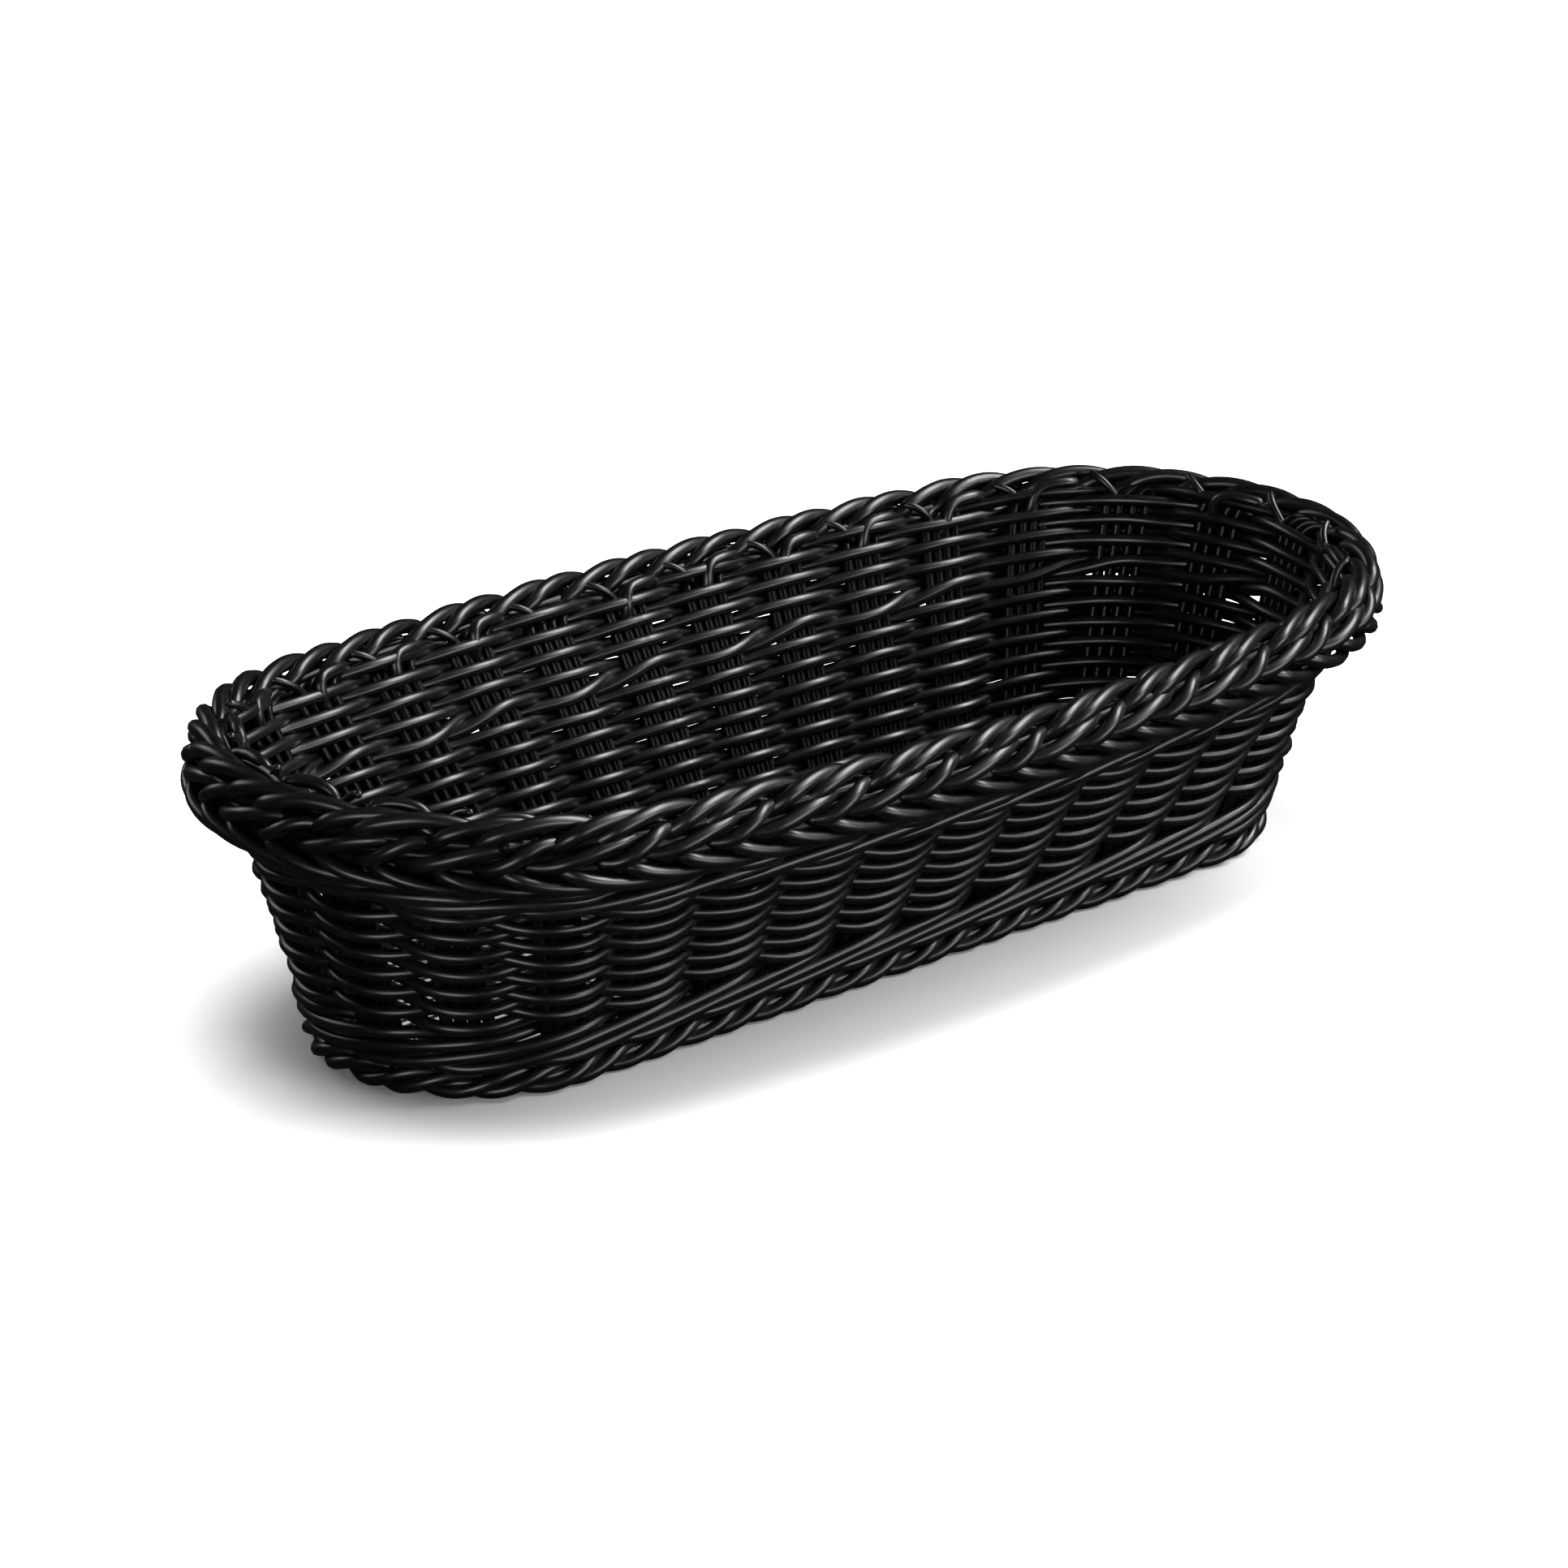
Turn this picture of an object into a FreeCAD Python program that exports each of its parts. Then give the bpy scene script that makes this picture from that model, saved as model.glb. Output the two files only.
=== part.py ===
import FreeCAD
import Part
import math
import os

# Oval woven bread basket: a flat woven base, flared plain-woven sides on flat
# four-rod stakes, a rope foot border and a three-strand plaited rim.
# Millimetres, +Z up.  The origin is the centre of the foot, on the table.

# --- driving dimensions -------------------------------------------------------
LENGTH = 400.0               # over the plaited rim, along X
WIDTH = 188.0                # over the plaited rim, along Y
HEIGHT = 88.0                # foot to the top of the plait

ROD = 2.9                    # diameter of every round rod
CLEAR = 0.15                 # gap left between rods that would touch

STAKES = 30                  # side stakes, evenly spaced round the wall
RODS_PER_STAKE = 4           # rods side by side in one flat stake
ROD_SPACING = 2.8            # centre to centre inside a stake

# the middle surface of the wall, at the foot and at the stake tips
FOOT_Z = 10.7                # level where the lower oval is measured
FOOT_HALF_LENGTH = 167.5
FOOT_HALF_WIDTH = 43.9
TIP_Z = 80.0                 # level where the upper oval is measured
TIP_HALF_LENGTH = 185.9
TIP_HALF_WIDTH = 82.9
END_ARC_ANGLE = 81.0         # half of the angle that each end arc turns, upper oval

STAKE_BOTTOM_Z = 10.4
STAKE_TOP_Z = 78.3

# rows of weaving, from the bottom up
FIRST_ROW_Z = 11.2
ROW_PITCH = 2.95
ROW_PLAN = [                 # kind of row and how many of it
    ("bottom_wale", 4),
    ("weaver_row", 13),
    ("top_wale", 2),
    ("weaver_row", 4),       # behind the rim
]
FLAT_OVER_STAKE = 6.5        # half of the straight run across a stake
BEND_REACH = 2.0             # length of straight that each bend takes up, on both sides
STRAIGHT = 1e-5              # half turn, in radians, below which two runs are in line

# foot border
FOOT_HEIGHT = 9.4
FOOT_THICKNESS = 8.6
FOOT_FLAT = 4.0              # width of the flat underside

# plaited rim: each strand's radius, and its centre line's inset from the overall size
INNER_STRAND = {"radius": 4.1, "end_inset": 15.6, "side_inset": 13.4, "drop": 4.1}
MIDDLE_STRAND = {"radius": 4.4, "end_inset": 4.4, "side_inset": 4.4, "drop": 4.4}
OUTER_STRAND = {"radius": 4.6, "end_inset": 5.9, "side_inset": 4.6, "drop": 16.5}

# base
BASE_Z = 12.6                # middle of the woven base
CROSS_STICKS = 9             # one for each pair of side stakes on the long sides
BASE_RODS = 24               # single rods running lengthwise
BASE_ROD_PITCH = 3.1
BASE_EDGE_GAP = 0.6          # from the base to the inside of the wall

PARTS = "parts"


# --- plan outlines ------------------------------------------------------------
class Oval:
    """A closed oval of two end arcs and two side arcs that meet tangentially."""

    def __init__(self, half_length, half_width, end_angle_deg=END_ARC_ANGLE):
        turn = math.radians(end_angle_deg)
        reach = (half_length - half_width) / (math.sin(turn) + math.cos(turn) - 1.0)
        self.turn = turn
        self.end_radius = half_length - reach * math.cos(turn)
        self.end_centre = half_length - self.end_radius
        self.side_radius = half_width + reach * math.sin(turn)
        self.side_centre = self.side_radius - half_width
        self.side_length = self.side_radius * (math.pi / 2 - turn)
        self.quarter = self.side_length + self.end_radius * turn

    def quarter_point(self, travel):
        """Point and outward angle, this far round from the middle of the +Y side."""
        if travel <= self.side_length:
            angle = math.pi / 2 - travel / self.side_radius
            x = self.side_radius * math.cos(angle)
            y = self.side_radius * math.sin(angle) - self.side_centre
        else:
            angle = self.turn - (travel - self.side_length) / self.end_radius
            x = self.end_centre + self.end_radius * math.cos(angle)
            y = self.end_radius * math.sin(angle)
        return x, y, angle

    def at(self, fraction):
        """Point and outward unit normal, for a fraction of the way round."""
        quarters = (fraction % 1.0) * 4.0
        index = int(quarters)
        travel = (quarters - index) * self.quarter
        if index % 2:
            travel = self.quarter - travel
        x, y, angle = self.quarter_point(travel)
        sign_x = 1 if index in (0, 1) else -1
        sign_y = 1 if index in (0, 3) else -1
        point = FreeCAD.Vector(sign_x * x, sign_y * y, 0)
        normal = FreeCAD.Vector(sign_x * math.cos(angle), sign_y * math.sin(angle), 0)
        return point, normal

    def wire(self, z):
        """The oval as a wire of four arcs at height z, starting on the +X end."""
        def arc(centre_x, centre_y, radius, start, end):
            places = []
            for angle in (start, (start + end) / 2, end):
                x = centre_x + radius * math.cos(angle)
                y = centre_y + radius * math.sin(angle)
                places.append(FreeCAD.Vector(x, y, z))
            return Part.Arc(*places).toShape()

        turn = self.turn
        return Part.Wire([
            arc(self.end_centre, 0, self.end_radius, -turn, turn),
            arc(0, -self.side_centre, self.side_radius, turn, math.pi - turn),
            arc(-self.end_centre, 0, self.end_radius, math.pi - turn, math.pi + turn),
            arc(0, self.side_centre, self.side_radius, math.pi + turn, 2 * math.pi - turn),
        ])


class Stadium(Oval):
    """An oval with straight sides and half-round ends."""

    def __init__(self, half_length, half_width):
        self.turn = math.pi / 2
        self.end_radius = half_width
        self.end_centre = half_length - half_width
        self.side_length = self.end_centre
        self.quarter = self.side_length + self.end_radius * self.turn
        self.half_width = half_width

    def quarter_point(self, travel):
        if travel <= self.side_length:
            return travel, self.half_width, math.pi / 2
        return super().quarter_point(travel)

    def wire(self, z):
        """The stadium as a wire of two lines and two half circles at height z."""
        far = self.end_centre
        side = self.half_width
        corners = [
            FreeCAD.Vector(far, -side, z),
            FreeCAD.Vector(far, side, z),
            FreeCAD.Vector(-far, side, z),
            FreeCAD.Vector(-far, -side, z),
        ]
        right_tip = FreeCAD.Vector(far + side, 0, z)
        left_tip = FreeCAD.Vector(-far - side, 0, z)
        return Part.Wire([
            Part.Arc(corners[0], right_tip, corners[1]).toShape(),
            Part.LineSegment(corners[1], corners[2]).toShape(),
            Part.Arc(corners[2], left_tip, corners[3]).toShape(),
            Part.LineSegment(corners[3], corners[0]).toShape(),
        ])


FOOT_OVAL = Stadium(FOOT_HALF_LENGTH, FOOT_HALF_WIDTH)
TIP_OVAL = Oval(TIP_HALF_LENGTH, TIP_HALF_WIDTH)


class StakeLine:
    """The straight centre line of one side stake, and the directions across it."""

    def __init__(self, index):
        fraction = index / STAKES
        low, low_normal = FOOT_OVAL.at(fraction)
        high, high_normal = TIP_OVAL.at(fraction)
        self.low = low + FreeCAD.Vector(0, 0, FOOT_Z)
        self.rise = (high + FreeCAD.Vector(0, 0, TIP_Z)) - self.low
        self.out = (low_normal + high_normal).normalize()
        # seen from above, the stakes and the rows both run clockwise
        self.along = FreeCAD.Vector(self.out.y, -self.out.x, 0)
        axis = FreeCAD.Vector(self.rise).normalize()
        across = self.along - axis * self.along.dot(axis)
        self.axis = axis
        self.across = across.normalize()
        self.face = self.across.cross(axis).normalize()

    def at_height(self, z):
        return self.low + self.rise * ((z - FOOT_Z) / (TIP_Z - FOOT_Z))

    def row_offset(self):
        """How far a row's centre line stands off the stake's, measured level."""
        return (ROD + CLEAR) / abs(self.out.dot(self.face))


STAKE_LINES = [StakeLine(index) for index in range(STAKES)]


# --- rods that follow a path --------------------------------------------------
def rounded_path(corners, closed, bend_reach=BEND_REACH):
    """Straight runs through the corners, joined by tangent arcs."""
    count = len(corners)
    runs = [(corners[(i + 1) % count] - corners[i]).Length for i in range(count)]
    starts, ends, arcs = {}, {}, {}
    for i in range(count):
        if not closed and i in (0, count - 1):
            starts[i] = ends[i] = corners[i]
            continue
        into = (corners[i] - corners[i - 1]).normalize()
        away = (corners[(i + 1) % count] - corners[i]).normalize()
        half_turn = into.getAngle(away) / 2
        if half_turn < STRAIGHT:
            starts[i] = ends[i] = corners[i]
            continue
        reach = min(bend_reach, 0.45 * min(runs[i - 1], runs[i]))
        bend = reach / math.tan(half_turn)
        starts[i] = corners[i] - into * reach
        ends[i] = corners[i] + away * reach
        inward = (away - into).normalize()
        middle = corners[i] + inward * (bend / math.cos(half_turn) - bend)
        arcs[i] = Part.Arc(starts[i], middle, ends[i]).toShape()
    edges = []
    for i in range(count if closed else count - 1):
        following = (i + 1) % count
        edges.append(Part.LineSegment(ends[i], starts[following]).toShape())
        if following in arcs:
            edges.append(arcs[following])
    return Part.Wire(edges)


def rod_along(path, diameter=ROD):
    """A round rod swept along a path."""
    edge = path.Edges[0]
    start = edge.valueAt(edge.FirstParameter)
    heading = edge.tangentAt(edge.FirstParameter)
    section = Part.Wire(Part.Circle(start, heading, diameter / 2).toShape())
    return path.makePipeShell([section], True, False)


# --- the pieces ---------------------------------------------------------------
def woven_row(z, is_outside):
    """One closed ring of weaving; is_outside(stake number) says which side it passes."""
    corners = []
    for index, stake in enumerate(STAKE_LINES):
        side = 1 if is_outside(index) else -1
        centre = stake.at_height(z) + stake.out * (side * stake.row_offset())
        corners.append(centre - stake.along * FLAT_OVER_STAKE)
        corners.append(centre + stake.along * FLAT_OVER_STAKE)
    return rod_along(rounded_path(corners, True))


def plain_row(number, z):
    """Over one stake, under one; rows alternate."""
    return woven_row(z, lambda index: (index + number) % 2 == 0)


def wale_row(number, z):
    """Outside two stakes, inside one."""
    return woven_row(z, lambda index: (index + number) % 3 != 0)


def bundle_section(centre, across, face, count, spacing):
    """Outline of rods lying side by side, as scallops joined where they meet."""
    radius = ROD / 2
    middle = (count - 1) / 2
    lift = math.sqrt(radius ** 2 - (spacing / 2) ** 2)

    def place(sideways, outwards):
        return centre + across * sideways + face * outwards

    edges = []
    for side in (1, -1):
        for k in range(count):
            rod = side * (k - middle) * spacing
            left = rod - side * spacing / 2
            right = rod + side * spacing / 2
            start = place(left, side * lift)
            end = place(right, side * lift)
            if k == count - 1:
                end = place(rod + side * radius, 0)
            if k == 0:
                start = place(rod - side * radius, 0)
            slant = radius * math.sqrt(0.5)
            if k == 0:
                top = place(rod - side * slant, side * slant)
            elif k == count - 1:
                top = place(rod + side * slant, side * slant)
            else:
                top = place(rod, side * radius)
            edges.append(Part.Arc(start, top, end).toShape())
    return Part.Wire(edges)


def side_stake(stake):
    """Four rods side by side, straight from the foot border to the rim."""
    bottom = stake.at_height(STAKE_BOTTOM_Z + ROD / 2 * stake.out.dot(stake.axis))
    top = stake.at_height(STAKE_TOP_Z - ROD / 2 * stake.out.dot(stake.axis))
    section = bundle_section(bottom, stake.across, stake.face, RODS_PER_STAKE, ROD_SPACING)
    return Part.Face(section).extrude(top - bottom)


def rim_strand(size):
    """One strand of the plaited rim, as a closed round ring."""
    oval = Oval(LENGTH / 2 - size["end_inset"], WIDTH / 2 - size["side_inset"])
    return rod_along(oval.wire(HEIGHT - size["drop"]), 2 * size["radius"])


def foot_border():
    """The rolled border under the wall, with a flat underside to stand on."""
    path = Stadium(FOOT_HALF_LENGTH, FOOT_HALF_WIDTH).wire(0)
    start = path.Edges[0].valueAt(path.Edges[0].FirstParameter)
    half = FOOT_THICKNESS / 2
    flat = FOOT_FLAT / 2
    middle = FOOT_HEIGHT / 2
    corner = math.sqrt(0.5)

    def place(inwards, z):
        return FreeCAD.Vector(start.x, start.y + inwards, z)

    shoulder = (half - flat) * corner
    section = Part.Wire([
        Part.LineSegment(place(-flat, 0), place(flat, 0)).toShape(),
        Part.Arc(place(flat, 0), place(flat + shoulder, middle * (1 - corner)),
                 place(half, middle)).toShape(),
        Part.Arc(place(half, middle), place(flat + shoulder, middle * (1 + corner)),
                 place(flat, FOOT_HEIGHT)).toShape(),
        Part.LineSegment(place(flat, FOOT_HEIGHT), place(-flat, FOOT_HEIGHT)).toShape(),
        Part.Arc(place(-flat, FOOT_HEIGHT), place(-flat - shoulder, middle * (1 + corner)),
                 place(-half, middle)).toShape(),
        Part.Arc(place(-half, middle), place(-flat - shoulder, middle * (1 - corner)),
                 place(-flat, 0)).toShape(),
    ])
    return path.makePipeShell([section], True, False)


def base_outline():
    """Half-length and half-width that the base may fill inside the bottom rows."""
    inset = STAKE_LINES[0].row_offset() + ROD / 2 + BASE_EDGE_GAP
    return FOOT_HALF_LENGTH - inset, FOOT_HALF_WIDTH - inset


def cross_stick_places():
    """X of each cross stick: the middles of the long sides' stakes."""
    first = -(CROSS_STICKS - 1) // 2
    return [STAKE_LINES[(first + k) % STAKES].low.x for k in range(CROSS_STICKS)]


def base_cross_sticks():
    """Flat four-rod sticks lying across the basket."""
    _, half_width = base_outline()
    sticks = []
    for x in cross_stick_places():
        start = FreeCAD.Vector(x, -half_width, BASE_Z)
        across = FreeCAD.Vector(1, 0, 0)
        face = FreeCAD.Vector(0, 0, 1)
        section = bundle_section(start, across, face, RODS_PER_STAKE, ROD_SPACING)
        sticks.append(Part.Face(section).extrude(FreeCAD.Vector(0, 2 * half_width, 0)))
    return Part.makeCompound(sticks)


def base_long_rods():
    """Single rods woven lengthwise, over one cross stick and under the next."""
    half_length, half_width = base_outline()
    offset = ROD + CLEAR
    rods = []
    for number in range(BASE_RODS):
        y = (number - (BASE_RODS - 1) / 2) * BASE_ROD_PITCH
        edge = abs(y) + ROD / 2
        reach = half_length - half_width + math.sqrt(half_width ** 2 - edge ** 2)
        corners = [FreeCAD.Vector(-reach, y, BASE_Z)]
        for k, x in enumerate(cross_stick_places()):
            side = 1 if (k + number) % 2 else -1
            corners.append(FreeCAD.Vector(x - FLAT_OVER_STAKE, y, BASE_Z + side * offset))
            corners.append(FreeCAD.Vector(x + FLAT_OVER_STAKE, y, BASE_Z + side * offset))
        corners.append(FreeCAD.Vector(reach, y, BASE_Z))
        rods.append(rod_along(rounded_path(corners, False)))
    return Part.makeCompound(rods)


def build_rows():
    """Every ring of weaving, from the bottom wale to the last row behind the rim."""
    rows = {}
    z = FIRST_ROW_Z
    plain_rows = 0
    for kind, count in ROW_PLAN:
        for number in range(1, count + 1):
            if kind == "weaver_row":
                plain_rows += 1
                rows[f"{kind}_{plain_rows:02d}"] = plain_row(plain_rows, z)
            else:
                rows[f"{kind}_{number}"] = wale_row(number, z)
            z += ROW_PITCH
    return rows


def build_nodes():
    nodes = {
        "foot_border": foot_border(),
        "base_cross_sticks": base_cross_sticks(),
        "base_long_rods": base_long_rods(),
    }
    for number, stake in enumerate(STAKE_LINES):
        nodes[f"side_stake_{number + 1:02d}"] = side_stake(stake)
    nodes.update(build_rows())
    nodes["rim_plait_inner"] = rim_strand(INNER_STRAND)
    nodes["rim_plait_middle"] = rim_strand(MIDDLE_STRAND)
    nodes["rim_plait_outer"] = rim_strand(OUTER_STRAND)
    return nodes


def main():
    os.makedirs(PARTS, exist_ok=True)
    for name, shape in build_nodes().items():
        box = shape.BoundBox
        valid = shape.isValid()
        print(f"{name}: {len(shape.Solids)} solids, {shape.Volume:.0f} mm3, valid {valid}, "
              f"z {box.ZMin:.1f} to {box.ZMax:.1f}")
        shape.exportStep(os.path.join(PARTS, name + ".step"))


main()
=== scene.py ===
import math
import random

import bpy
import numpy as np
from mathutils import Matrix, Vector


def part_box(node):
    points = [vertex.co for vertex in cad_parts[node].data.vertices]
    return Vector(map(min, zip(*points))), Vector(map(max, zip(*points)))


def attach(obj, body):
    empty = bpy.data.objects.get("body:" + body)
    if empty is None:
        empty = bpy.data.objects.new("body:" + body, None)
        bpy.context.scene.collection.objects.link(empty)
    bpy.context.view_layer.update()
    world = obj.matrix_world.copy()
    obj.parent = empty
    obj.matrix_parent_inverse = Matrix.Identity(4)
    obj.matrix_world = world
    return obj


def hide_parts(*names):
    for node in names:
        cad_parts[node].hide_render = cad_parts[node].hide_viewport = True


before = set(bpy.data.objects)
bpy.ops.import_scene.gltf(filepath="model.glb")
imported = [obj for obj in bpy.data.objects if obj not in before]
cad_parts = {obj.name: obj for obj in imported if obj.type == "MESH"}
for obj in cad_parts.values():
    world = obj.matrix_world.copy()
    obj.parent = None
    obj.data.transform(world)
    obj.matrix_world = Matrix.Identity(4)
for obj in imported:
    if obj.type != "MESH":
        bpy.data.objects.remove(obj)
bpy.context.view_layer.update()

# Bread basket woven from round black plastic rods.  Every rod is a swept tube that
# follows its own path through the weave.  The basket's sizes are in millimetres, and MM
# makes them metres; floor, lights and camera are in metres.

random.seed(7)
MM = 0.001
UP = np.array([0, 0, 1.0])

# --- sizes shared with the CAD model ----------------------------------------------
STAKES = 30
RODS_PER_STAKE = 4
FOOT_Z = 10.7                # level where the lower oval is measured
FOOT_HALF_LENGTH = 167.5
FOOT_HALF_WIDTH = 43.9
TIP_Z = 80.0                 # level where the upper oval is measured
TIP_HALF_LENGTH = 185.9
TIP_HALF_WIDTH = 82.9
END_ARC_ANGLE = math.radians(81)   # half of the turn of each end arc, upper oval
BASE_Z = 12.6                # middle of the woven base
BASE_RODS = 24               # single rods lengthwise
CROSS_STICKS = 9

# --- rods, fatter than the CAD model's ----------------------------------------------
ROD = 3.65                   # diameter of a weaving rod
STICK_ROD = ROD - 0.1        # rods of the stakes and of the base's cross sticks
BASE_ROD = ROD - 0.05
SIDES = 10                   # sides of a rod's mesh
HIDDEN_SIDES = 8             # sides of a rod that the weave mostly covers
LARGEST_START = 500          # a rod starts anywhere up to this place in its material's noise
STAKE_SPACING = 3.7
SIDE_BY_SIDE = [(k - (RODS_PER_STAKE - 1) / 2) * STAKE_SPACING for k in range(RODS_PER_STAKE)]

# --- foot border ---------------------------------------------------------------------
FOOT_STRANDS = 3
FOOT_TURNS = 20              # twists of the rope round the basket
FOOT_STRAND = 3.9
FOOT_SAMPLES = FOOT_TURNS * 26
FOOT_LAY = 0.22              # how unevenly the strands are twisted, in radians
FOOT_SWELL = 0.15
FOOT_CLEAR = 0.3             # from the rope to the floor, less its swell
FOOT_CORE_SIDES = 6

# --- base ----------------------------------------------------------------------------
BASE_INSET = 4.2             # from the wall's middle to the ends of the base rods
BASE_ROD_PITCH = 3.3
BASE_FADE = 25               # past the last stick the weave flattens out in this length
BASE_DRIFT = 0.3
BASE_ROD_SAMPLES = 170
CROSS_STICK_BOW = 0.4
CROSS_STICK_SAMPLES = 24

# --- stakes, measured up the slope of the wall --------------------------------------------
STAKE_FOOT = -2.6            # climb of the stake's lower end
STAKE_TOP = 76.0             # climb where the rods turn into the rim
STAKE_SPREAD = 0.1           # how much further apart the rods are at the top
STAKE_WOBBLE = 0.25
STAKE_SAMPLES = 24           # points up the slope
STAKE_ROD_SAMPLES = 48       # points along a whole rod, with its bend
STAKE_TURN = np.array([      # the bend into the rim: up, outwards and along, past the top
    (2.6, 0.6, 1.5), (4.6, 1.6, 4.0), (5.6, 2.2, 8.0),
])

# --- rows of plain weaving, measured up the slope of the wall -----------------------------
PLAIN_ROWS_BELOW = 13
ROWS_IN_TOP_WALE = 2         # rows that the top wale takes the place of
PLAIN_ROWS_BEHIND = 4        # behind the rim
EXTRA_ROWS = 3               # behind the rim too, and without a node in the CAD model
ROW_LIFT = 3.5               # how far a row stands off the middle of the stakes
ROW_BOW = 0.6                # how flat a row runs over a stake
FIRST_ROW_CLIMB = 13.6
ROW_STEP = 3.13
BACK_STEP_EXTRA = 0.1        # rows are this much further apart on +Y, and closer on -Y
FRONT_START_EXTRA = 1.2      # the first row starts this much higher on -Y
ROW_SAMPLES = 16             # points from stake to stake
ROW_DRIFT = 0.05             # unevenness along a row, in stakes
ROW_BULGE = 0.1              # unevenness of its lift, as a share
ROW_WANDER = 0.28            # unevenness of its height
ROW_THICKENING = 0.12        # unevenness of its diameter

# --- wales: stakes travelled, climb, lift ------------------------------------------------
WALE_SAMPLES = 14            # points from stake to stake
WALE_WANDER = 0.18
BOTTOM_WALE = [              # outside three stakes, inside one
    (-0.50, 9.6, 0.2), (-0.25, 9.8, 2.3), (0.0, 9.3, 3.1), (0.3, 8.2, 3.3), (0.6, 6.8, 3.3),
    (1.1, 4.6, 3.3), (1.6, 2.1, 3.3), (2.0, 0.6, 3.1), (2.25, 0.3, 2.2), (2.5, 0.8, 0.0),
    (2.75, 2.6, -2.4), (3.0, 5.4, -3.1), (3.25, 8.0, -2.4),
]
TOP_WALE_ROD = 3.9
TOP_WALE_DROP = 0.4          # below the row that it takes the place of
TOP_WALE = [                 # outside two stakes, inside one
    (-0.5, 3.5, 0.0), (-0.25, 4.1, 2.5), (0.0, 4.3, 3.3), (0.5, 3.2, 3.5), (1.0, 1.3, 3.4),
    (1.25, 0.5, 2.5), (1.5, 0.5, 0.0), (1.75, 1.0, -2.5), (2.0, 1.9, -3.4), (2.25, 2.7, -2.5),
]

# --- rim: an upright oval section that the plait's rods lie on -----------------------------
RIM_HALF_THICKNESS = 6.1
RIM_HALF_HEIGHT = 9.7
RIM_BED = 2.0                # how deep under the section's outline the rods' middles lie
RIM_DROP = 9.1               # from the top of the CAD rim to the middle of the section
RIM_END_RISE = 3.45          # how much higher the rim is at both ends
CORE_ROD = 4.2
CORE_SAMPLES = 10            # points from stake to stake
CORE_WANDER = 0.35
CORE = [                     # across and height from the section's middle
    (-1.4, 3.0), (1.2, 3.0), (-1.4, -0.6), (0.8, -0.8), (-1.2, -3.8), (0.4, -4.4),
]
STROKE_SAMPLES = 30
STROKE_SHIFT = 0.025         # unevenness along the rim, in stakes
STROKE_TILT = 3              # unevenness of the angle, in degrees
STROKE_THINNEST = 0.96       # as shares of the diameter
STROKE_FATTEST = 1.04
INNER_ROD = 4.5
INNER_LONG = [               # stakes travelled, angle round the section, lift
    (-0.66, 155, -3.0), (-0.58, 145, -1.2), (-0.46, 130, 0.1), (-0.30, 112, 0.5), (-0.14, 96, 0.7),
    (0.0, 82, 0.8), (0.22, 60, 0.7), (0.37, 46, 0.2), (0.47, 37, -1.4), (0.54, 30, -3.2),
]
INNER_SHORT = [
    (-0.18, 155, -3.0), (-0.11, 145, -1.2), (0.0, 130, 0.1), (0.13, 112, 0.5), (0.28, 96, 0.7),
    (0.42, 80, 0.7), (0.6, 60, 0.7), (0.73, 46, 0.3), (0.82, 36, -1.4), (0.88, 29, -3.2),
]
MIDDLE_ROD = 4.3
MIDDLE_LONG = [
    (0.2, 36, -3.2), (0.28, 28, -2.0), (0.38, 20, -0.7), (0.55, 10, 0.4), (0.72, -2, 0.7),
    (0.88, -14, 0.2), (1.02, -28, -1.6), (1.10, -38, -3.0),
]
MIDDLE_SHORT = [
    (-0.14, 44, -3.2), (-0.07, 36, -2.0), (0.02, 24, -0.6), (0.13, 8, 0.5), (0.25, -8, 0.6),
    (0.36, -22, -0.3), (0.46, -36, -2.4),
]
OUTER_ROD = 3.9
OUTER_WANDER = 0.2           # unevenness of the height
OUTER = [                    # stakes travelled, across and height from the section's middle
    (-1.15, -9.5, -13.6), (-1.0, -6.9, -12.6), (-0.8, -3.4, -11.4), (-0.55, 0.2, -9.9),
    (-0.3, 2.9, -9.0), (-0.08, 4.5, -7.7), (0.08, 5.1, -6.4), (0.19, 5.0, -5.1),
    (0.27, 4.1, -4.1), (0.34, 2.3, -3.3),
]

# --- short ends inside, under the rim: stakes travelled, climb, lift -----------------------
TAIL_SHARE = 0.6             # share of the stakes that show a bent end
TAIL_DROP = (-1.6, 0.4)      # lowest and highest, beside the climbs below
TAIL_SHIFT = (-0.03, 0.05)   # least and most, in stakes
TAIL_SAMPLES = 30
TAIL = [
    (-0.04, 73.0, -0.6), (-0.03, 76.0, -3.0), (-0.01, 79.5, -3.9), (0.04, 81.4, -4.0),
    (0.12, 82.4, -3.8), (0.24, 82.8, -3.4), (0.36, 82.8, -2.4), (0.44, 82.6, -0.8),
]
SLANT_ROD = 2.4
SLANT_SAMPLES = 12
SLANT = [(0.6, 84.8, -1.6), (0.67, 83.4, -2.8), (0.76, 81.2, -3.2), (0.86, 78.2, -2.2)]


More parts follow.
